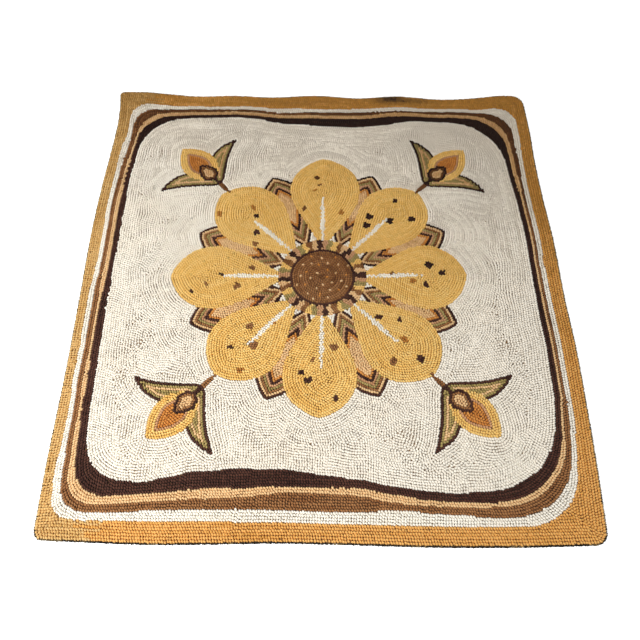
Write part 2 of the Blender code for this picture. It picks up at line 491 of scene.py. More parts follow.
def petal_spots(root, angle, length, half_width):
    """Seeds scattered over the outer two thirds of a petal, each a few loops across."""
    spots = []
    for place in np.linspace(0.34, 0.82, SPOTS_IN_PETAL):
        along = length * (place + random.uniform(-0.05, 0.05))
        across = half_width * random.uniform(-0.55, 0.55)
        centre = out_from(out_from(root, angle, along), angle + pi / 2, across)
        yarn = SPOT_YARNS[random.integers(4)]
        spots.append(Spot(centre, random.uniform(4.5, 10.5) * MM, yarn))
    return spots


def flower():
    """Eight striped petals behind eight broad golden ones, round a striped collar and a seed head."""
    shapes = []
    for index in range(PETALS):
        angle = 2 * pi * (index + 0.5) / PETALS + random.uniform(-0.02, 0.02)
        length = BACK_PETAL_LENGTH + random.uniform(-0.008, 0.008)
        outline = leaf_outline(out_from(MIDDLE, angle, PETAL_ROOT), angle, length, BACK_PETAL_HALF_WIDTH,
                               fullest=0.60, roundness=0.75)
        shapes.append(Motif(f"back_petal_{index}", outline, BACK_PETAL_YARNS, []))
    for index in range(PETALS):
        angle = 2 * pi * index / PETALS + random.uniform(-0.025, 0.025)
        length = PETAL_LENGTH + random.uniform(-0.012, 0.012)
        half_width = PETAL_HALF_WIDTH + random.uniform(-0.005, 0.004)
        root = out_from(MIDDLE, angle, PETAL_ROOT)
        outline = leaf_outline(root, angle, length, half_width, fullest=0.64, roundness=0.62,
                               bend=random.uniform(-0.008, 0.008))
        spots = petal_spots(root, angle, length, half_width)
        shapes.append(Motif(f"petal_{index}", outline, ("yellow",), spots))
        vein = leaf_outline(out_from(root, angle, 0.01), angle, VEIN_LENGTH, VEIN_HALF_WIDTH,
                            fullest=0.5, roundness=0.5)
        shapes.append(Motif(f"vein_{index}", vein, ("cream",), []))
    shapes.append(Motif("collar", ring_outline(MIDDLE, COLLAR_RADIUS), ("collar_stripes",), []))
    seeds = []
    for seed in range(SEEDS):
        distance = HEAD_RADIUS * SEEDS_REACH * np.sqrt((seed + 0.5) / SEEDS)
        centre = out_from(MIDDLE, seed * GOLDEN_ANGLE, distance)
        seeds.append(Spot(centre, SEED_RADIUS, "tan" if seed % 3 else "orange"))
    shapes.append(Motif("seed_head", ring_outline(MIDDLE, HEAD_RADIUS), ("dark", "brown"), seeds))
    return shapes


# %% Corner buds
# Distances from the middle of the field, and sizes, in metres
STEM_START = 0.385
STEM_LENGTH = 0.110
LEAF_START = 0.425
LEAF_LENGTH = 0.175
LEAF_SPREAD = 0.95  # radians that a leaf turns away from the stem
BUD_START = 0.455
BUD_LENGTH = 0.150
CUP_START = 0.451
CUP_LENGTH = 0.070


def corner_spray(angle, name):
    """A bud on a short stem, held between two curved leaves, pointing at one corner of the border."""
    stem = leaf_outline(out_from(MIDDLE, angle, STEM_START), angle, STEM_LENGTH, half_width=0.007,
                        fullest=0.5, roundness=0.4)
    shapes = [Motif(name + "_stem", stem, ("brown",), [])]
    for side in (-1, 1):
        leaf = leaf_outline(out_from(MIDDLE, angle, LEAF_START), angle + side * LEAF_SPREAD, LEAF_LENGTH,
                            half_width=0.026, fullest=0.45, roundness=0.85, bend=side * -0.030)
        shapes.append(Motif(f"{name}_leaf_{side + 1}", leaf, ("dark", "olive", "tan", "olive"), []))
    bud = leaf_outline(out_from(MIDDLE, angle, BUD_START), angle, BUD_LENGTH, half_width=0.050,
                       fullest=0.45, roundness=0.72)
    shapes.append(Motif(name + "_bud", bud, ("yellow", "yellow", "yellow", "pink_tan", "orange"), []))
    cup = leaf_outline(out_from(MIDDLE, angle, CUP_START), angle, CUP_LENGTH, half_width=0.026,
                       fullest=0.42, roundness=0.7)
    shapes.append(Motif(name + "_cup", cup, ("dark", "brown", "tan"), []))
    return shapes


MOTIFS = flower()
CORNER_ANGLES = (pi / 4 + 0.02, 3 * pi / 4 - 0.03, 5 * pi / 4 + 0.03, 7 * pi / 4 - 0.02)
for index, angle in enumerate(CORNER_ANGLES):
    MOTIFS += corner_spray(angle, f"corner_{index}")
print(len(MOTIFS), "shapes in the field")

# %% [markdown]
# ## Choosing the yarn at a place
#
# The finished drawing answers one question: which yarn is hooked here? The border answers by which of
# its lines lie outside the place, and the field by the last shape drawn over it. In a shape the answer
# depends on how many rows the place lies inside the outline.

# %% Yarn names
YARNS = ("border_gold", "cream", "brown", "tan", "dark", "field_cream", "yellow", "ochre", "orange",
         "pink_tan", "olive", "pale_gold")
NUMBER = {name: number for number, name in enumerate(YARNS)}
BAND_YARNS = ("cream", "brown", "tan", "dark", "field_cream")
COLLAR_STRIPES = ("dark", "tan", "brown", "yellow", "olive", "pink_tan")
COLLAR_REPEATS = 8


def collar_yarn(points):
    """Radial stripes: the angle round the middle, cut into equal shares."""
    angle = np.arctan2(points[:, 1] - MIDDLE[1], points[:, 0] - MIDDLE[0]) / (2 * pi) % 1.0
    stripe = (angle * COLLAR_REPEATS * len(COLLAR_STRIPES)).astype(int) % len(COLLAR_STRIPES)
    return np.array([NUMBER[name] for name in COLLAR_STRIPES])[stripe]


def yarn_at(points):
    """Yarn number at each point, and the number of the shape that it lies in (-1 on the ground)."""
    yarn = np.full(len(points), NUMBER["border_gold"])
    shape = np.full(len(points), -1)
    for band, name in zip(BAND_NAMES, BAND_YARNS):
        yarn[inside(points, LINES[band])] = NUMBER[name]
    for number, motif in enumerate(MOTIFS):
        within = np.flatnonzero(inside(points, motif.outline))
        if motif.yarns == ("collar_stripes",):
            yarn[within] = collar_yarn(points[within])
        else:
            row = (clearance(points[within], motif.outline) / ROW).astype(int)
            fill = np.array([NUMBER[name] for name in motif.yarns])
            yarn[within] = fill[np.minimum(row, len(fill) - 1)]
        shape[within] = number
        for spot in motif.spots:
            near = within[np.linalg.norm(points[within] - spot.centre, axis=1) < spot.radius]
            yarn[near] = NUMBER[spot.yarn]
    return yarn, shape


# %% [markdown]
# ## Laying the rows
#
# Rows echo the nearest line. The gold rows run parallel to the edge, and each other band's follow its
# outer line, which is hooked first so that it stays crisp. In the field the rows ripple out from every
# shape until they meet. Where two sets of rows meet, the one laid first has its place, and the other
# gives way.

# %% Rows beside a guide
GUIDE_SLACK = 0.8 * MM
ROW_SLACK = 1.6 * MM
FEWEST_POINTS = 6
TOO_CLOSE = 0.70 * PITCH


def rows_beside(guide, side, count, start=0.5):
    """Loops in rows beside a closed guide: their points, headings, rows' numbers and arc lengths.

    Row k is the guide moved sideways by (k + start) row widths, less what comes too near the guide."""
    found = []
    for index in range(count):
        distance = (index + start) * ROW
        moved = moved_sideways(guide, side * distance)
        moved = moved[clearance(moved, guide) > distance - GUIDE_SLACK]
        if len(moved) < FEWEST_POINTS:
            break
        loops = even_curve(moved, PITCH)
        ahead = headings(loops)
        clear = np.abs(clearance(loops, guide) - distance) < ROW_SLACK
        along = np.arange(len(loops)) * PITCH
        row = np.full(len(loops), index)
        found.append((loops[clear], ahead[clear], row[clear], along[clear]))
    return [np.concatenate(parts) for parts in zip(*found)]


class Laid:
    """All loops laid so far, as arrays that grow set by set."""

    def __init__(self):
        self.points = np.empty((0, 2))
        self.ahead = np.empty((0, 2))
        self.row = np.empty(0, int)
        self.along = np.empty(0)

    def add(self, points, ahead, row, along):
        """Adds a set of loops, less those that come too close to one already laid or to each other."""
        if len(points) == 0:
            return
        keep = np.ones(len(points), bool)
        if len(self.points):
            i, _, _ = close_pairs(points, self.points, TOO_CLOSE)
            keep[i] = False
        points, ahead, row, along = points[keep], ahead[keep], row[keep], along[keep]
        if len(points) == 0:
            return
        i, j, _ = close_pairs(points, points, TOO_CLOSE)
        keep = np.ones(len(points), bool)
        keep[i[j < i]] = False
        base = self.row.max() + 1 if len(self.row) else 0
        self.points = np.vstack((self.points, points[keep]))
        self.ahead = np.vstack((self.ahead, ahead[keep]))
        self.row = np.concatenate((self.row, base + row[keep]))
        self.along = np.concatenate((self.along, along[keep]))


def chosen(rows, mask):
    """The loops of a set of rows that a mask picks."""
    return [part[mask] for part in rows]


# %% Border rows
laid = Laid()
SIDE_MARGIN = 3.4 * MM  # from the edge to the middle of the outermost loops
NEAR_MARGIN = 5.2 * MM  # the same on the near side, where more of the hem shows
MARGIN_EASE = 60 * MM
GOLD_ROWS = 22
BAND_ROWS = 10
from_near_side = (edge[:, 1:] - low.y) / MARGIN_EASE
margin = NEAR_MARGIN + (SIDE_MARGIN - NEAR_MARGIN) * from_near_side.clip(0.0, 1.0)
outer_row = moved_sideways(edge, margin)
gold_rows = rows_beside(outer_row, 1, GOLD_ROWS, 0.0)
laid.add(*chosen(gold_rows, gold_rows[2] == 0))

band_rows = [rows_beside(LINES[band], 1, BAND_ROWS) for band in BAND_NAMES]
for rows in band_rows:
    laid.add(*chosen(rows, rows[2] == 0))

gold_yarn = yarn_at(gold_rows[0])[0]
laid.add(*chosen(gold_rows, (gold_rows[2] > 0) & (gold_yarn == NUMBER["border_gold"])))
for rows, name in zip(band_rows[:-1], BAND_YARNS):
    band_yarn = yarn_at(rows[0])[0]
    laid.add(*chosen(rows, (rows[2] > 0) & (band_yarn == NUMBER[name])))
print("border:", len(laid.points), "loops")

# %% Field rows
SHAPE_ROWS = 20
GROUND_ROWS = 26
MEETING_SLACK = 0.3 * ROW
for number, motif in enumerate(MOTIFS):
    rows = rows_beside(motif.outline, 1, SHAPE_ROWS)
    laid.add(*chosen(rows, yarn_at(rows[0])[1] == number))
print("with the shapes:", len(laid.points), "loops")

ground_guides = [(LINES["dark"], 1)]
ground_guides += [(motif.outline, -1) for motif in MOTIFS if "vein" not in motif.name]
ground_sets = []
for guide, side in ground_guides:
    rows = rows_beside(guide, side, GROUND_ROWS)
    yarn, shape = yarn_at(rows[0])
    ground_sets.append(chosen(rows, (yarn == NUMBER["field_cream"]) & (shape < 0)))
for number, rows in enumerate(ground_sets):
    own = clearance(rows[0], ground_guides[number][0])
    nearest = np.ones(len(rows[0]), bool)
    for other, (guide, _) in enumerate(ground_guides):
        if other != number:
            test = np.flatnonzero(nearest & (box_distance(rows[0], guide) + MEETING_SLACK < own))
            nearest[test] = own[test] <= clearance(rows[0][test], guide) + MEETING_SLACK
    laid.add(*chosen(rows, nearest))
print("with the ground:", len(laid.points), "loops")

# %% [markdown]
# Gaps are left where rows meet. The hooker fills them with odd loops, so a fine grid of places is
# searched for the widest gaps, and a loop goes into each.

# %% Filling the gaps
WIDEST_GAP = 0.74 * ROW
GAP_REACH = WIDEST_GAP * 1.5
GRID_STEP = 1.5 * MM
FILL_PASSES = 8
grid_x, grid_y = np.meshgrid(np.arange(low.x, high.x, GRID_STEP), np.arange(low.y, high.y, GRID_STEP))
grid = np.column_stack((grid_x.ravel(), grid_y.ravel()))
grid = grid[inside(grid, outer_row)]
print("searching", len(grid), "places")

for _ in range(FILL_PASSES):
    i, j, apart = close_pairs(grid, laid.points, GAP_REACH)
    order = np.lexsort((apart, i))
    seen, first = np.unique(i[order], return_index=True)
    gap = np.full(len(grid), GAP_REACH)
    gap[seen] = apart[order][first]
    beside = np.zeros(len(grid), int)
    beside[seen] = j[order][first]
    grid, gap, beside = grid[gap > WIDEST_GAP], gap[gap > WIDEST_GAP], beside[gap > WIDEST_GAP]
    if len(grid) == 0:
        break
    rank = gap + random.uniform(0.0, 0.4 * MM, len(grid))
    i, j, _ = close_pairs(grid, grid, WIDEST_GAP)
    widest = np.ones(len(grid), bool)
    widest[i[rank[j] > rank[i]]] = False
    source = beside[widest]
    laid.points = np.vstack((laid.points, grid[widest]))
    laid.ahead = np.vstack((laid.ahead, laid.ahead[source]))
    laid.row = np.concatenate((laid.row, laid.row[source]))
    laid.along = np.concatenate((laid.along, laid.along[source]))
print("filled:", len(laid.points), "loops")

# %% [markdown]
# No one follows the rows strictly in a plain ground: the hook wanders and the loops turn this way and
# that. So the ground's loops sway, by a sum of slow waves over the rug, with more freedom the further
# they lie from anything drawn.

# %% Swaying ground
HAND_SPREAD = 0.25 * MM  # how far a loop misses its place in the row
SWAY_WAVES = 7
SWAY_TURNS = 60.0  # radians of a wave in a metre, at most
SWAY_REACH = 4 * ROW
SWAY_SHIFT = 9 * MM
SWAY_TURN = radians(170)
LOOSE_TURN = radians(16)
DRIFT_TURNS = 40.0

yarn, shape = yarn_at(laid.points)
points = laid.points + random.normal(0.0, HAND_SPREAD, laid.points.shape)
Sway = namedtuple("Sway", "x y start")
sways = [Sway(*random.uniform((-1, -1, 0), (1, 1, 2 * pi))) for _ in range(SWAY_WAVES)]

on_ground = (yarn == NUMBER["field_cream"]) & (shape < 0)
ground = points[on_ground]
i, j, apart = close_pairs(ground, points[~on_ground], SWAY_REACH)
freedom = np.full(len(ground), SWAY_REACH)
np.minimum.at(freedom, i, apart)
freedom = ((freedom - ROW) / (SWAY_REACH - ROW)).clip(0.0, 1.0)

bend = np.zeros(len(ground))
for sway in sways:
    bend += np.sin(SWAY_TURNS * (sway.x * ground[:, 0] + sway.y * ground[:, 1]) + sway.start) / SWAY_WAVES

turn = freedom * (bend * SWAY_TURN + random.normal(0.0, LOOSE_TURN, len(ground)))
cosine, sine = np.cos(turn), np.sin(turn)
ahead_x, ahead_y = laid.ahead[on_ground].T
laid.ahead[on_ground] = np.column_stack((cosine * ahead_x - sine * ahead_y,
                                         sine * ahead_x + cosine * ahead_y))
drift = np.column_stack((np.sin(DRIFT_TURNS * ground[:, 1]), np.cos(DRIFT_TURNS * ground[:, 0])))
points[on_ground] += (freedom * bend * SWAY_SHIFT)[:, None] * drift
print("the ground's", len(ground), "loops turn by up to", round(float(np.degrees(abs(turn).max()))), "deg")

# %% [markdown]
# Then all the loops settle: each pushes its close neighbours away a little, as packed wool does. The
# outermost row is held by the hem, so it hardly moves, but its loops bulge over the edge unevenly.

# %% Settling
SETTLE_PASSES = 22
PUSH_REACH = 1.12 * ROW
PUSH = 0.16  # share of the overlap that one pass takes away
MOST_PUSH = 0.5 * MM
OUTER_HOLD = 0.1
OUTER_BULGE = 0.4 * MM
outer = clearance(laid.points, outer_row) < 0.3 * ROW
for _ in range(SETTLE_PASSES):
    i, j, apart = close_pairs(points, points, PUSH_REACH)
    i, j, apart = i[apart > 1e-6], j[apart > 1e-6], apart[apart > 1e-6]
    away = (points[i] - points[j]) * (PUSH * (PUSH_REACH - apart) / apart)[:, None]
    shift = np.column_stack([np.bincount(i, away[:, axis], len(points)) for axis in (0, 1)])
    shift[outer] *= OUTER_HOLD
    points += np.clip(shift, -MOST_PUSH, MOST_PUSH)
points[outer] += random.normal(0.0, OUTER_BULGE, (outer.sum(), 2))
laid.points = points
i, j, apart = close_pairs(points, points, PUSH_REACH)
print("loops lie", round(apart[apart > 1e-6].mean() / MM, 1), "mm apart on average")

# %% [markdown]
# Where a band's last row straddles the next band's line, its loops would change yarn at every stitch.
# A hooker keeps to one strand, so each border loop counts the yarns round it, and takes the commoner one
# if it is outnumbered: first only towards the later yarns in the list, then back, then forward again.
#
# The gold is not all one lot of dye: along the left side it is paler.

# %% One strand at a time
VOTE_REACH = 1.35 * ROW
everyone = np.arange(len(points))
i, j, _ = close_pairs(points, points, VOTE_REACH)
for step in (1, -1, 1):
    votes = np.zeros((len(points), len(YARNS)))
    np.add.at(votes, (i, yarn[j]), 1.0)
    winner = votes[:, :NUMBER["field_cream"] + 1].argmax(axis=1)
    outnumbered = votes[everyone, winner] > votes[everyone, yarn]
    in_border = (yarn <= NUMBER["field_cream"]) & (shape < 0)
    changes = outnumbered & in_border & (np.sign(winner - yarn) == step)
    yarn = np.where(changes, winner, yarn)
    print("changed yarn:", changes.sum(), "loops")

PALE_FROM = -0.530
PALE_SPREAD = 0.030
change = PALE_FROM + random.normal(0.0, PALE_SPREAD, laid.row.max() + 1)[laid.row]
yarn = np.where((yarn == NUMBER["border_gold"]) & (points[:, 0] < change), NUMBER["pale_gold"], yarn)
for name in YARNS:
    print(f"{name:12s}", (yarn == NUMBER[name]).sum(), "loops")

# %% [markdown]
# ## How the rug lies
#
# A hooked rug is stiff and heavy, but it never lies quite flat: it lifts a little in a few places,
# mostly along its far edge. The lift is a sum of low rounded humps, never below the floor.

# %% Lift
Hump = namedtuple("Hump", "x y reach_x reach_y height")
HUMPS = (
    Hump(x=0.20, y=0.66, reach_x=0.10, reach_y=0.05, height=4.0 * MM),
    Hump(x=-0.12, y=0.67, reach_x=0.13, reach_y=0.05, height=2.5 * MM),
    Hump(x=-0.45, y=0.66, reach_x=0.08, reach_y=0.06, height=2.0 * MM),
    Hump(x=0.48, y=0.68, reach_x=0.09, reach_y=0.05, height=2.5 * MM),
    Hump(x=-0.62, y=-0.66, reach_x=0.12, reach_y=0.10, height=1.5 * MM),
    Hump(x=0.62, y=-0.10, reach_x=0.06, reach_y=0.22, height=1.5 * MM),
    Hump(x=0.05, y=-0.10, reach_x=0.35, reach_y=0.20, height=1.2 * MM),
    Hump(x=-0.30, y=0.30, reach_x=0.22, reach_y=0.25, height=1.2 * MM),
)


def lift(points):
    """Height added at each place: every hump is a bell, exp(-(dx/reach)^2 - (dy/reach)^2)."""
    height = np.zeros(len(points))
    for hump in HUMPS:
        across = (points[:, 0] - hump.x) / hump.reach_x
        along = (points[:, 1] - hump.y) / hump.reach_y
        height += hump.height * np.exp(-across ** 2 - along ** 2)
    return height


print("greatest lift:", round(lift(points).max() / MM, 1), "mm")

# %% [markdown]
# ## One loop, forty thousand times
#
# From above, a hooked loop is an oval grain: the yarn rises, turns over and dives again, and it lies
# slanted across its row because the strand twists as it is pulled up. At this scale a few faces are
# enough: a six-sided foot, a fuller six-sided shoulder, and a crown. All loops are worked out together,
# as one array of loops by points.

# %% Loop shape
SIDES = 6
Ring = namedtuple("Ring", "half_length half_width height")
FOOT = Ring(half_length=4.8 * MM, half_width=3.9 * MM, height=1.7 * MM)
SHOULDER = Ring(half_length=4.3 * MM, half_width=2.95 * MM, height=6.1 * MM)
CROWN_HEIGHT = 9.7 * MM
SLANT = radians(-50)
SLANT_SPREAD = radians(11)
SIZE_SPREAD = 0.07
SIZE_LIMIT = 0.15
HEIGHT_SPREAD = 0.35 * MM
SHORTEST = -0.8 * MM
TALLEST = 0.5 * MM
LEAN_SPREAD = 0.55 * MM
SHOULDER_LEAN = 0.4  # share of the crown's lean that the shoulder takes
POINTS_PER_LOOP = 2 * SIDES + 1
round_angle = 2 * pi * np.arange(SIDES) / SIDES


def loop_points(centres, ahead, width=1.0, tall=1.0):
    """Points of every loop, shape (loops, 13, 3): the foot's six, the shoulder's six and the crown.

    Each ring is an ellipse sampled at six angles, turned to the row's heading plus the slant."""
    count = len(centres)
    heading = np.arctan2(ahead[:, 1], ahead[:, 0]) + SLANT + random.normal(0, SLANT_SPREAD, count)
    size = 1 + random.normal(0, SIZE_SPREAD, (count, 1)).clip(-SIZE_LIMIT, SIZE_LIMIT)
    local = np.zeros((count, POINTS_PER_LOOP, 3))
    for first, ring in ((0, FOOT), (SIDES, SHOULDER)):
        local[:, first:first + SIDES, 0] = ring.half_length * np.cos(round_angle) * size
        local[:, first:first + SIDES, 1] = ring.half_width * np.sin(round_angle) * size
        local[:, first:first + SIDES, 2] = ring.height
    local[:, -1, :2] = random.normal(0, LEAN_SPREAD, (count, 2))
    local[:, SIDES:-1, :2] += SHOULDER_LEAN * local[:, -1:, :2]
    local[:, -1, 2] = CROWN_HEIGHT
    local[:, SIDES:, 2] += random.normal(0, HEIGHT_SPREAD, (count, 1)).clip(SHORTEST, TALLEST)
    local *= (width, width, tall)
    cosine, sine = np.cos(heading)[:, None], np.sin(heading)[:, None]
    placed = np.empty_like(local)
    placed[..., 0] = centres[:, None, 0] + cosine * local[..., 0] - sine * local[..., 1]
    placed[..., 1] = centres[:, None, 1] + sine * local[..., 0] + cosine * local[..., 1]
    placed[..., 2] = local[..., 2] + lift(centres)[:, None]
    return placed, local


# %% Loop faces
HERE = np.arange(SIDES)
NEXT = (HERE + 1) % SIDES
FOOT_FACE = HERE[::-1]
SIDE_FACES = np.column_stack((HERE, NEXT, NEXT + SIDES, HERE + SIDES))
CROWN_FACES = np.column_stack((HERE + SIDES, NEXT + SIDES, np.full(SIDES, 2 * SIDES)))
FACE_CORNERS = np.concatenate((FOOT_FACE, SIDE_FACES.ravel(), CROWN_FACES.ravel()))
FACE_SIZES = np.array([SIDES] + [4] * SIDES + [3] * SIDES)
FACE_STARTS = np.concatenate(([0], np.cumsum(FACE_SIZES)[:-1]))
TRIANGLES_PER_LOOP = (FACE_SIZES - 2).sum()
print("a loop has", POINTS_PER_LOOP, "points and", TRIANGLES_PER_LOOP, "triangles")

# %% [markdown]
# Each loop gets a cell of its own in a square map, where it is spread out flat: crown in the middle,
# shoulder round it, foot outermost, and the hidden foot face small in a corner of the cell. A colour
# baked into that map can then show every loop apart. A second map measures along and across the yarn,
# in yarn widths, for the twist of its plies.

# %% Maps of a loop
# Places and radii in a cell, whose side is 1
CELL_MIDDLE = 0.47
CELL_FOOT = 0.40
CELL_SHOULDER = 0.29
CELL_CORNER = 0.94
CELL_FOOT_FACE = 0.055
YARN_WIDTH = 2.2 * MM


def cell_places():
    """Place of each face corner in its cell, from 0 to 1, in the order of the face corners."""
    circle = np.column_stack((np.cos(round_angle), np.sin(round_angle)))
    middle = np.array((CELL_MIDDLE, CELL_MIDDLE))
    by_point = np.vstack((middle + CELL_FOOT * circle, middle + CELL_SHOULDER * circle, middle))
    places = by_point[FACE_CORNERS]
    places[:SIDES] = CELL_CORNER + CELL_FOOT_FACE * circle[FOOT_FACE]
    return places


def loop_maps(mesh, local):
    """Writes the two maps: the cell map for baking, and the yarn map for the plies."""
    count = len(local)
    across = int(np.ceil(np.sqrt(count)))
    cells = np.column_stack((np.arange(count) % across, np.arange(count) // across))
    places = (cells[:, None, :] + cell_places()[None]) / across
    bake = mesh.uv_layers.new(name="OFBake")
    bake.data.foreach_set("uv", places.astype(np.float32).ravel())
    yarn_way = local[:, FACE_CORNERS, :2] / YARN_WIDTH + random.uniform(0, 40, (count, 1, 2))
    plies = mesh.uv_layers.new(name="yarn_way")
    plies.data.foreach_set("uv", yarn_way.astype(np.float32).ravel())


# %% Pile mesh
SHOULDER_CREST = 0.72  # of the way up the loop


def point_values(mesh, name, values):
    """Stores one number for each point of the mesh."""
    stored = mesh.attributes.new(name, "FLOAT", "POINT")
    stored.data.foreach_set("value", values.astype(np.float32))


def pile_mesh(name, centres, ahead, shade, soil, width=1.0, tall=1.0):
    """One mesh of many loops: each loop's shade and soiling, and the height in the loop, are attributes."""
    placed, local = loop_points(centres, ahead, width, tall)
    count = len(centres)
    mesh = bpy.data.meshes.new(name)
    mesh.vertices.add(count * POINTS_PER_LOOP)
    mesh.vertices.foreach_set("co", placed.astype(np.float32).ravel())
    starts = np.arange(count)[:, None]
    corner_points = (starts * POINTS_PER_LOOP + FACE_CORNERS).ravel()
    face_starts = (starts * len(FACE_CORNERS) + FACE_STARTS).ravel()
    mesh.loops.add(len(corner_points))
    mesh.loops.foreach_set("vertex_index", corner_points)
    mesh.polygons.add(len(face_starts))
    mesh.polygons.foreach_set("loop_start", face_starts)
    mesh.update(calc_edges=True)
    loop_maps(mesh, local)
    point_values(mesh, "shade", np.repeat(shade, POINTS_PER_LOOP))
    point_values(mesh, "soil", np.repeat(soil, POINTS_PER_LOOP))
    heights = np.concatenate((np.zeros(SIDES), np.full(SIDES, SHOULDER_CREST), [1.0]))
    point_values(mesh, "crest", np.tile(heights, count))
    mesh.shade_smooth()
    return mesh


# %% [markdown]
# ## Shade along the strand
#
# Hand-dyed wool is never one colour. The dye takes unevenly along a strand, so the shade drifts slowly
# along a row, each row differs a little from the next, and single loops catch the light in their own
# way. Three slow waves with a random start in each row give the drift.

# %% Shade of each loop
WAVES = ((0.55, 0.16), (0.21, 0.13), (0.08, 0.08))  # wavelength in metres, and strength
ROW_SPREAD = 0.08
LOOP_SPREAD = 0.13


def strand_shade(row, along):
    """0.5 plus three sines of the way along the strand, a step for each row and one for each loop."""
    rows = row.max() + 1
    shade = 0.5 + random.normal(0, ROW_SPREAD, rows)[row] + random.normal(0, LOOP_SPREAD, len(row))
    for wavelength, strength in WAVES:
        start = random.uniform(0, 2 * pi, rows)[row]
        shade += strength * np.sin(2 * pi * along / wavelength + start)
    return shade.clip(0.0, 1.0)


# %% [markdown]
# Each yarn's shade also falls from the near left to the far right, towards its deep dye. This is
# painted shade, for the light falling off away from the window lamp. Here and there a loop has caught
# some dirt, and three dark marks lie in the far border.

# %% Painted falloff of the light, and marks
# How far each yarn's shade falls with the painted falloff of the light, towards its deep dye
FALLOFF_DEPTH = {
    "border_gold": 0.85,
    "pale_gold": 0.85,
    "cream": 0.90,
    "field_cream": 0.90,
    "brown": 0.90,
    "tan": 0.80,
    "dark": 0.90,
}
USUAL_FALLOFF = 0.35
UNEVEN_WEAR = 0.20
CLEAN_SHARE = 0.994


def painted_falloff(points):
    """Painted shade for the light's falloff: rising evenly from 0 at the near left to 1.3 at the far right.
    """
    return ((points[:, 1] + 0.35 * points[:, 0] + 0.25) / 0.80).clip(0.0, 1.3)


Mark = namedtuple("Mark", "x y reach_x reach_y depth")
MARKS = (
    Mark(x=0.215, y=0.647, reach_x=0.050, reach_y=0.016, depth=0.85),
    Mark(x=0.300, y=0.640, reach_x=0.045, reach_y=0.012, depth=0.35),
    Mark(x=-0.10, y=0.635, reach_x=0.120, reach_y=0.010, depth=0.15),
)


def soiling(points):
    """A few dark marks, each a bell like the humps, and now and then a loop that has caught some dirt."""
    dirty = random.uniform(0.0, 1.0, len(points)) > CLEAN_SHARE
    soil = dirty * random.uniform(0.05, 0.25, len(points))
    for mark in MARKS:
        across = (points[:, 0] - mark.x) / mark.reach_x
        along = (points[:, 1] - mark.y) / mark.reach_y
        soil += mark.depth * np.exp(-across ** 2 - along ** 2)
    return soil.clip(0.0, 1.0)


falloff_depth = np.array([FALLOFF_DEPTH.get(name, USUAL_FALLOFF) for name in YARNS])[yarn]
# Each loop's shade falls towards the far right: painted shade for the light's falloff
shade = strand_shade(laid.row, laid.along) + falloff_depth * (0.5 - painted_falloff(points))
soil = soiling(points)
cream = (yarn == NUMBER["cream"]) | (yarn == NUMBER["field_cream"])
# Random darkening of single loops, growing towards the far right with the painted falloff
soil += ~cream * UNEVEN_WEAR * painted_falloff(points) * random.uniform(0.0, 1.0, len(points))
soil = soil.clip(0.0, 1.0)
print("shade from", shade.min().round(2), "to", shade.max().round(2), "mean", shade.mean().round(2))

# %% [markdown]
# ## Wool
#
# The wool is matt, with soft loose fibres that catch light at a low angle. Its colour, its plies and its
# loose fibres are the same effects in every yarn, so they are node groups; only the dyes differ. The
# groups give a colour and a normal, and the shader itself stays in each material.


# %% Node helpers
def new_group(name, inputs, outputs):
    """A node group with named sockets: each is (name, kind), with a default for some inputs."""
    group = bpy.data.node_groups.new(name, "ShaderNodeTree")
    for socket_name, kind, default in inputs:
        socket = group.interface.new_socket(socket_name, in_out="INPUT", socket_type=kind)
        if default is not None:
            socket.default_value = default
    for socket_name, kind in outputs:
        group.interface.new_socket(socket_name, in_out="OUTPUT", socket_type=kind)
    return group, group.nodes.new("NodeGroupInput"), group.nodes.new("NodeGroupOutput")


def add(tree, kind, **inputs):
    """A node of that kind; each value is set on the named input, or linked to it if it is a socket."""
    made = tree.nodes.new("ShaderNode" + kind)
    for name, value in inputs.items():
        socket = made.inputs[name.replace("_", " ")]
        if isinstance(value, bpy.types.NodeSocket):
            tree.links.new(value, socket)
        else:
            socket.default_value = value
    return made


def calculate(tree, operation, first, second=0.0, clamp=False):
    """A Math node's result for two numbers or sockets."""
    made = tree.nodes.new("ShaderNodeMath")
    made.operation = operation
    made.use_clamp = clamp
    for socket, value in zip(made.inputs, (first, second)):
        if isinstance(value, bpy.types.NodeSocket):
            tree.links.new(value, socket)
        else:
            socket.default_value = value
    return made.outputs[0]


def blend_colours(tree, amount, first, second, mode="MIX"):
    """The first colour blended towards the second by an amount."""
    made = tree.nodes.new("ShaderNodeMix")
    made.data_type = "RGBA"
    made.blend_type = mode
    for index, value in ((0, amount), (6, first), (7, second)):
        if isinstance(value, bpy.types.NodeSocket):
            tree.links.new(value, made.inputs[index])
        else:
            made.inputs[index].default_value = value
    return made.outputs[2]


def attribute(tree, name):
    """The value of a number stored on the mesh."""
    made = tree.nodes.new("ShaderNodeAttribute")
    made.attribute_name = name
    return made.outputs["Fac"]


# %% Dyed wool group
WEAR = 0.18  # share of loose fibres on the crest of a loop
# The root's tone is painted shade, with some dirt, deep in the pile between the loops
ROOT_SHADE_POWER = 2.8  # the power that keeps the root's tone low in the loop
LOOSE_FIBRES = (0.80, 0.76, 0.68, 1.0)
DIRT = (0.045, 0.026, 0.014, 1.0)
WARM_LOT = (1.0, 0.95, 0.86, 1.0)
COOL_LOT = (0.97, 1.0, 1.0, 1.0)


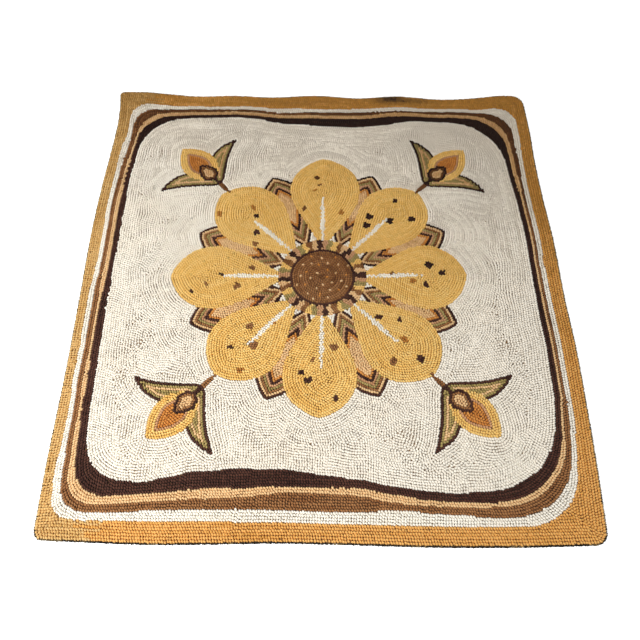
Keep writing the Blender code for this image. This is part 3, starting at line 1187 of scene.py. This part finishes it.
def dyed_wool_group():
    """Colour of a strand: three dye strengths by its shade, dusty fibres, and painted shade with some dirt
    at its foot.
    """
    group, enter, leave = new_group(
        "dyed_wool",
        [("Light", "NodeSocketColor", None), ("Middle", "NodeSocketColor", None),
         ("Deep", "NodeSocketColor", None), ("Root", "NodeSocketColor", None),
         ("Wear", "NodeSocketFloat", WEAR)],
        [("Colour", "NodeSocketColor")])
    place = group.nodes.new("ShaderNodeTexCoord").outputs["Object"]
    shade = attribute(group, "shade")
    broad = add(group, "TexNoise", Vector=place, Scale=3.2, Detail=3.0).outputs["Fac"]
    drift = calculate(group, "MULTIPLY", calculate(group, "SUBTRACT", broad, 0.5), 0.9)
    shade = calculate(group, "ADD", shade, drift, clamp=True)
    towards_middle = calculate(group, "MULTIPLY", shade, 2.0, clamp=True)
    towards_light = calculate(group, "SUBTRACT", calculate(group, "MULTIPLY", shade, 2.0), 1.0, clamp=True)
    dyed = blend_colours(group, towards_middle, enter.outputs["Deep"], enter.outputs["Middle"])
    dyed = blend_colours(group, towards_light, dyed, enter.outputs["Light"])
    patch = add(group, "TexNoise", Vector=place, Scale=5.0, Detail=1.0).outputs["Fac"]
    tint = blend_colours(group, patch, WARM_LOT, COOL_LOT)
    dyed = blend_colours(group, 0.8, dyed, tint, "MULTIPLY")
    fibre = add(group, "TexNoise", Vector=place, Scale=1100.0, Detail=2.0).outputs["Fac"]
    fibre_mask = calculate(group, "MULTIPLY", calculate(group, "SUBTRACT", fibre, 0.5, clamp=True), 1.3)
    worn = blend_colours(group, fibre_mask, dyed, LOOSE_FIBRES)
    worn_amount = calculate(group, "MULTIPLY", attribute(group, "crest"), enter.outputs["Wear"])
    worn = blend_colours(group, worn_amount, dyed, worn)
    # Towards the foot of the loop the colour goes to the root's tone: painted shade between the loops, with
    # some dirt
    height = calculate(group, "POWER", attribute(group, "crest"), ROOT_SHADE_POWER)
    root_shaded = blend_colours(group, height, enter.outputs["Root"], worn)
    soiled = blend_colours(group, attribute(group, "soil"), root_shaded, DIRT)
    group.links.new(soiled, leave.inputs["Colour"])
    return group


# %% Yarn relief group
def yarn_relief_group():
    """Normal of a two-ply yarn: slanted waves along the yarn map, with a fine fuzz of fibres."""
    group, enter, leave = new_group(
        "yarn_relief",
        [("Twist", "NodeSocketFloat", 0.5), ("Fuzz", "NodeSocketFloat", 0.35)],
        [("Normal", "NodeSocketVector")])
    coordinates = group.nodes.new("ShaderNodeTexCoord")
    yarn_way = group.nodes.new("ShaderNodeUVMap")
    yarn_way.uv_map = "yarn_way"
    plies = add(group, "TexWave", Vector=yarn_way.outputs["UV"], Scale=0.42, Distortion=0.6)
    plies.wave_type = "BANDS"
    plies.bands_direction = "DIAGONAL"
    fibres = add(group, "TexNoise", Vector=coordinates.outputs["Object"], Scale=900.0, Detail=2.0)
    twist = calculate(group, "MULTIPLY", plies.outputs["Fac"], enter.outputs["Twist"])
    fuzz = calculate(group, "MULTIPLY", fibres.outputs["Fac"], enter.outputs["Fuzz"])
    relief = add(group, "Bump", Height=calculate(group, "ADD", twist, fuzz), Strength=0.55,
                 Distance=0.8 * MM)
    group.links.new(relief.outputs["Normal"], leave.inputs["Normal"])
    return group


DYED_WOOL = dyed_wool_group()
YARN_RELIEF = yarn_relief_group()
print("effects:", [group.name for group in bpy.data.node_groups])


# %% Dye table
def dye(red, green, blue):
    """A colour as a dyer's card gives it, each from 0 to 255, turned into linear light."""
    card = np.array((red, green, blue)) / 255
    linear = np.where(card <= 0.04045, card / 12.92, ((card + 0.055) / 1.055) ** 2.4)
    return (*[float(value) for value in linear], 1.0)


Dyes = namedtuple("Dyes", "light middle deep root")
# The root is the tone at a loop's foot: painted shade deep in the pile, with some dirt
DYE_CARD = {
    "border_gold": Dyes(dye(237, 190, 116), dye(220, 170, 94), dye(164, 125, 58), dye(204, 137, 58)),
    "pale_gold": Dyes(dye(222, 190, 131), dye(203, 167, 104), dye(154, 119, 60), dye(204, 156, 92)),
    "cream": Dyes(dye(250, 248, 242), dye(244, 239, 229), dye(201, 190, 175), dye(228, 220, 206)),
    "field_cream": Dyes(dye(250, 245, 236), dye(243, 236, 225), dye(200, 189, 174), dye(228, 220, 207)),
    "brown": Dyes(dye(185, 133, 86), dye(160, 108, 65), dye(97, 62, 32), dye(76, 40, 18)),
    "tan": Dyes(dye(243, 213, 166), dye(231, 197, 148), dye(184, 146, 96), dye(206, 157, 104)),
    "dark": Dyes(dye(101, 64, 52), dye(75, 43, 35), dye(43, 20, 13), dye(22, 9, 7)),
    "yellow": Dyes(dye(252, 224, 152), dye(246, 209, 130), dye(232, 190, 110), dye(214, 164, 78)),
    "ochre": Dyes(dye(212, 150, 76), dye(196, 132, 62), dye(166, 106, 48), dye(142, 90, 38)),
    "orange": Dyes(dye(236, 170, 92), dye(220, 148, 72), dye(190, 120, 56), dye(166, 98, 40)),
    "pink_tan": Dyes(dye(230, 184, 142), dye(214, 166, 124), dye(186, 138, 100), dye(164, 116, 78)),
    "olive": Dyes(dye(196, 176, 116), dye(176, 156, 98), dye(146, 128, 80), dye(124, 106, 60)),
    "edge_khaki": Dyes(dye(170, 152, 112), dye(142, 126, 92), dye(104, 88, 60), dye(80, 66, 44)),
    # The nearly black edge yarn is painted shadow under the near edge
    "edge_shadow": Dyes(dye(84, 70, 50), dye(52, 42, 30), dye(26, 19, 13), dye(14, 10, 7)),
}
print(len(DYE_CARD), "yarns on the dye card")


def wool_material(name, dyes):
    """Matt wool in one yarn's dyes, with a soft sheen at low angles."""
    material = bpy.data.materials.new(name + "_wool")
    material.use_nodes = True
    tree = material.node_tree
    shader = tree.nodes["Principled BSDF"]
    colour = tree.nodes.new("ShaderNodeGroup")
    colour.node_tree = DYED_WOOL
    colour.inputs["Light"].default_value = dyes.light
    colour.inputs["Middle"].default_value = dyes.middle
    colour.inputs["Deep"].default_value = dyes.deep
    colour.inputs["Root"].default_value = dyes.root
    colour.inputs["Wear"].default_value = WEAR
    relief = tree.nodes.new("ShaderNodeGroup")
    relief.node_tree = YARN_RELIEF
    tree.links.new(colour.outputs["Colour"], shader.inputs["Base Color"])
    tree.links.new(relief.outputs["Normal"], shader.inputs["Normal"])
    shader.inputs["Roughness"].default_value = 0.92
    shader.inputs["Specular IOR Level"].default_value = 0.12
    shader.inputs["Sheen Weight"].default_value = 0.05
    shader.inputs["Sheen Roughness"].default_value = 0.5
    return material


# %% [markdown]
# ## The pile, yarn by yarn
#
# Each yarn is one piece, so that each can take its own finish. The cream of the field needs more loops
# than one piece should hold, so it is split in two, row after row.

# %% Pile pieces
MOST_LOOPS = 8800


def hooked_piece(name, dyes_name, centres, ahead, shade, soil, width=1.0, tall=1.0):
    """One piece of loops in its yarn, riding the rug."""
    mesh = pile_mesh(name, centres, ahead, shade, soil, width, tall)
    mesh.materials.append(wool_material(dyes_name, DYE_CARD[dyes_name]))
    piece = bpy.data.objects.new(name, mesh)
    bpy.context.scene.collection.objects.link(piece)
    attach(piece, "root")
    print(name, len(centres), "loops,", len(centres) * TRIANGLES_PER_LOOP, "triangles")


for name in YARNS:
    of_yarn = np.flatnonzero(yarn == NUMBER[name])
    parts = int(np.ceil(len(of_yarn) / MOST_LOOPS))
    of_yarn = of_yarn[np.argsort(laid.row[of_yarn], kind="stable")]
    for number, share in enumerate(np.array_split(of_yarn, parts)):
        piece_name = f"pile_{name}_{number + 1}" if parts > 1 else f"pile_{name}"
        hooked_piece(piece_name, name, points[share], laid.ahead[share], shade[share], soil[share])
print("pile:", len(points) * TRIANGLES_PER_LOOP, "triangles in all")

# %% [markdown]
# ## The whipped edge
#
# The hem is whipped over with a thinner yarn, which makes the narrow lumpy rim. The yarn is a dull
# khaki, and along the near side a nearly black one, which is painted shadow: it stands for the shade
# under the near edge. Its stitches are the same loops, smaller, lower and closer together, in one ring
# along the edge.

# %% Whipping
WHIP_PITCH = 3.9 * MM
WHIP_OUT = 0.4 * MM
WHIP_SPREAD = 0.35 * MM
WHIP_WIDTH = 0.56  # of a pile loop's width
WHIP_TALL = 0.84  # of a pile loop's height
SHADOW_FROM = -0.57
NEAR_STRIP = 40 * MM
MOSTLY = -1.3
SELDOM = 2.1
whip_line = even_curve(moved_sideways(edge, -WHIP_OUT), WHIP_PITCH)
whip_ahead = headings(whip_line)
whip_points = whip_line + random.normal(0.0, WHIP_SPREAD, whip_line.shape)
way = np.arange(len(whip_line)) * WHIP_PITCH
# Two sines of the way round, out of step, and a random step: the dark yarn, painted shadow, shows where
# this is high.
patchy = np.sin(way / 0.031) + np.sin(way / 0.0127 + 1.0) + random.normal(0.0, 0.5, len(way))
on_near_side = (whip_line[:, 1] < low.y + NEAR_STRIP) & (whip_line[:, 0] > SHADOW_FROM)
is_shadowed = patchy > np.where(on_near_side, MOSTLY, SELDOM)
whip_shade = strand_shade(np.zeros(len(way), int), way)
for name, mask in (("edge_khaki", ~is_shadowed), ("edge_shadow", is_shadowed)):
    hooked_piece("whipping_" + name, name, whip_points[mask], whip_ahead[mask], whip_shade[mask],
                 np.zeros(mask.sum()), WHIP_WIDTH, WHIP_TALL)

# %% [markdown]
# ## The foundation cloth
#
# Under the pile lies a coarse linen cloth. Its edge is folded under and sewn down as a hem, which shows
# as a thin rim round the rug. It is made as one closed sheet. Its top and its underside are the same
# grid: a patch stretched between the four sides of the edge, in which each point is the mean of where
# the two pairs of facing sides would put it. A ring of points a little further out rounds the fold.

# %% Cloth grid
HEM_WIDTH = 30 * MM
HEM_DEPTH = 0.8 * MM
HEM_SLOPE = 1.5 * MM
EDGE_FOLD = 0.9 * MM
CLOTH_STEP = 22 * MM


def grid_shares(length):
    """Shares of a side at which the grid has lines: even, with a close pair where the hem ends."""
    inner = np.linspace(HEM_WIDTH, length - HEM_WIDTH, round((length - 2 * HEM_WIDTH) / CLOTH_STEP))
    marks = np.concatenate(([0, HEM_WIDTH / 2, HEM_WIDTH - HEM_SLOPE], inner,
                            [length - HEM_WIDTH + HEM_SLOPE, length - HEM_WIDTH / 2, length]))
    return marks / length


def between(curve, start, end, shares):
    """Points at shares of the arc length from one index to another along a closed curve."""
    run = np.roll(curve, -start, axis=0)[:(end - start) % len(curve) + 1]
    reach = np.concatenate(([0.0], np.cumsum(np.linalg.norm(np.diff(run, axis=0), axis=1))))
    return np.column_stack([np.interp(shares * reach[-1], reach, run[:, axis]) for axis in (0, 1)])


def cloth_grid(curve):
    """The patch between four sides: near and far blended by v, plus left and right blended by u, less
    the four corners blended by both."""
    near_left = np.argmin(curve[:, 0] + curve[:, 1])
    near_right = np.argmax(curve[:, 0] - curve[:, 1])
    far_right = np.argmax(curve[:, 0] + curve[:, 1])
    far_left = np.argmax(curve[:, 1] - curve[:, 0])
    u = grid_shares(RUG_WIDTH)
    v = grid_shares(RUG_LENGTH)
    near = between(curve, near_left, near_right, u)[None]
    right = between(curve, near_right, far_right, v)[:, None]
    far = between(curve, far_right, far_left, 1 - u[::-1])[::-1][None]
    left = between(curve, far_left, near_left, 1 - v[::-1])[::-1][:, None]
    u = u[None, :, None]
    v = v[:, None, None]
    corners = ((1 - u) * (1 - v) * near[:, :1] + u * (1 - v) * near[:, -1:]
               + (1 - u) * v * far[:, :1] + u * v * far[:, -1:])
    return (1 - v) * near + v * far + (1 - u) * left + u * right - corners


def rim_indices(rows, columns):
    """Grid indices round the rim, counter-clockwise from the first corner."""
    index = np.arange(rows * columns).reshape(rows, columns)
    return np.concatenate((index[0, :-1], index[:-1, -1], index[-1, :0:-1], index[:0:-1, 0]))


# %% Cloth mesh
def foundation_mesh():
    """Top grid, underside grid and fold ring, joined into one closed sheet."""
    inner = moved_sideways(edge, EDGE_FOLD)
    plan = cloth_grid(inner)
    rows, columns = plan.shape[:2]
    flat = plan.reshape(-1, 2)
    from_edge = clearance(flat, edge)
    raised = lift(flat)
    top = np.column_stack((flat, raised + FOUNDATION_TOP))
    within_hem = from_edge > HEM_WIDTH + EDGE_FOLD - 1 * MM
    under = np.column_stack((flat, raised + np.where(within_hem, HEM_DEPTH, 0.0)))
    rim = rim_indices(rows, columns)
    outward = moved_sideways(flat[rim], -(EDGE_FOLD - 0.2 * MM))
    fold = np.column_stack((outward, raised[rim] + FOUNDATION_TOP / 2))
    index = np.arange(rows * columns).reshape(rows, columns)
    quads = np.stack((index[:-1, :-1], index[:-1, 1:], index[1:, 1:], index[1:, :-1]), axis=-1)
    quads = quads.reshape(-1, 4)
    size = rows * columns
    ring = 2 * size + np.arange(len(rim))
    following = np.roll(ring, -1)
    next_rim = np.roll(rim, -1)
    lower = np.column_stack((rim + size, next_rim + size, following, ring))
    upper = np.column_stack((ring, following, next_rim, rim))
    faces = np.vstack((quads, quads[:, ::-1] + size, lower, upper))
    mesh = bpy.data.meshes.new("foundation_cloth")
    mesh.from_pydata(np.vstack((top, under, fold)).tolist(), [], faces.tolist())
    cloth_map(mesh, plan, faces, len(quads), len(rim))
    point_values(mesh, "from_edge", np.concatenate((from_edge, from_edge, np.zeros(len(rim)))))
    mesh.shade_smooth()
    return mesh


def cloth_map(mesh, plan, faces, quads, rim):
    """The map for baking: top on the left, underside on the right, and the fold as two strips below."""
    spot = (plan - (low.x, low.y)) / (RUG_WIDTH, RUG_LENGTH)
    spot = spot.reshape(-1, 2)
    top = spot * (0.47, 0.93) + (0.01, 0.06)
    under = spot * (0.47, 0.93) + (0.51, 0.06)
    by_point = np.vstack((top, under, np.zeros((rim, 2))))
    places = by_point[faces]
    start = 0.01 + 0.98 * np.arange(rim) / rim
    end = start + 0.98 / rim
    for first, base in ((2 * quads, 0.005), (2 * quads + rim, 0.03)):
        upper = base + 0.018
        for corner, (across, up) in enumerate(((start, base), (end, base), (end, upper), (start, upper))):
            places[first:first + rim, corner] = np.column_stack((across, np.full(rim, up)))
    bake = mesh.uv_layers.new(name="OFBake")
    bake.data.foreach_set("uv", places.astype(np.float32).ravel())


# %% [markdown]
# The linen is unbleached. Its threads run both ways, as two sets of waves, and the higher thread of the
# two shows at each place; the gaps between them are darkened as painted shade. Under the pile the cloth
# turns brownish, with fluff from the pile and painted shade between the loops, and near its edge a line
# of stitches holds the hem.

# %% Linen
THREADS = 105.0
STITCH_INSET = 4 * MM  # from the line of stitches to the end of the hem
STITCH_HALF_WIDTH = 0.6 * MM
FLUFF_AND_SHADE_FROM = 1 * MM
FLUFF_AND_SHADE_RISE = 400.0  # for each metre further in


def woven_threads(tree, place):
    """The height of the weave: two sets of waves, and the higher of the two at each place."""
    threads = []
    for direction in ("X", "Y"):
        wave = add(tree, "TexWave", Vector=place, Scale=THREADS, Distortion=1.2, Detail=1.0,
                   Detail_Scale=2.0)
        wave.bands_direction = direction
        threads.append(wave.outputs["Fac"])
    return calculate(tree, "MAXIMUM", threads[0], threads[1])


def hem_stitches(tree, place, from_edge):
    """1 on the dashes of a thin line that runs round near the end of the hem, and 0 elsewhere."""
    end = HEM_WIDTH - STITCH_INSET
    off_line = calculate(tree, "ABSOLUTE", calculate(tree, "SUBTRACT", from_edge, end))
    on_line = calculate(tree, "LESS_THAN", off_line, STITCH_HALF_WIDTH)
    dashes = add(tree, "TexWave", Vector=place, Scale=28.0)
    dashes.bands_direction = "DIAGONAL"
    in_dash = calculate(tree, "GREATER_THAN", dashes.outputs["Fac"], 0.4)
    return calculate(tree, "MULTIPLY", on_line, in_dash)


def linen_material():
    """Coarse unbleached linen with slubs, soiling, painted shade between its threads, fluff and painted
    shade under the pile, and the hem's stitches.
    """
    material = bpy.data.materials.new("coarse_linen")
    material.use_nodes = True
    tree = material.node_tree
    shader = tree.nodes["Principled BSDF"]
    place = tree.nodes.new("ShaderNodeTexCoord").outputs["Object"]
    from_edge = attribute(tree, "from_edge")
    weave = woven_threads(tree, place)
    stitch = hem_stitches(tree, place, from_edge)
    slub = add(tree, "TexNoise", Vector=place, Scale=60.0, Detail=3.0).outputs["Fac"]
    soil = add(tree, "TexNoise", Vector=place, Scale=6.0, Detail=4.0).outputs["Fac"]
    colour = blend_colours(tree, slub, dye(150, 136, 100), dye(176, 160, 122))
    colour = blend_colours(tree, calculate(tree, "MULTIPLY", soil, 0.6), colour, dye(112, 100, 78))
    # The gaps between the threads are darkened: painted shade in the weave
    gaps = calculate(tree, "MULTIPLY", calculate(tree, "SUBTRACT", 1.0, weave), 0.55)
    colour = blend_colours(tree, gaps, colour, dye(70, 60, 44))
    # Under the pile the cloth goes brown: fluff from the pile, and painted shade between the loops
    past_rim = calculate(tree, "SUBTRACT", from_edge, FLUFF_AND_SHADE_FROM)
    under_pile = calculate(tree, "MULTIPLY", past_rim, FLUFF_AND_SHADE_RISE, clamp=True)
    fluff_and_shade = calculate(tree, "MULTIPLY", under_pile, 0.8)
    colour = blend_colours(tree, fluff_and_shade, colour, dye(150, 108, 62))
    colour = blend_colours(tree, stitch, colour, dye(214, 204, 178))
    height = calculate(tree, "ADD", weave, calculate(tree, "MULTIPLY", stitch, 2.0))
    relief = add(tree, "Bump", Height=height, Strength=0.7, Distance=0.4 * MM)
    tree.links.new(colour, shader.inputs["Base Color"])
    tree.links.new(relief.outputs["Normal"], shader.inputs["Normal"])
    shader.inputs["Roughness"].default_value = 0.95
    shader.inputs["Specular IOR Level"].default_value = 0.2
    return material


cloth_mesh = foundation_mesh()
cloth_mesh.materials.append(linen_material())
foundation = bpy.data.objects.new("foundation_cloth", cloth_mesh)
bpy.context.scene.collection.objects.link(foundation)
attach(foundation, "root")
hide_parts("rug")
print("foundation:", len(cloth_mesh.polygons) * 2, "triangles")
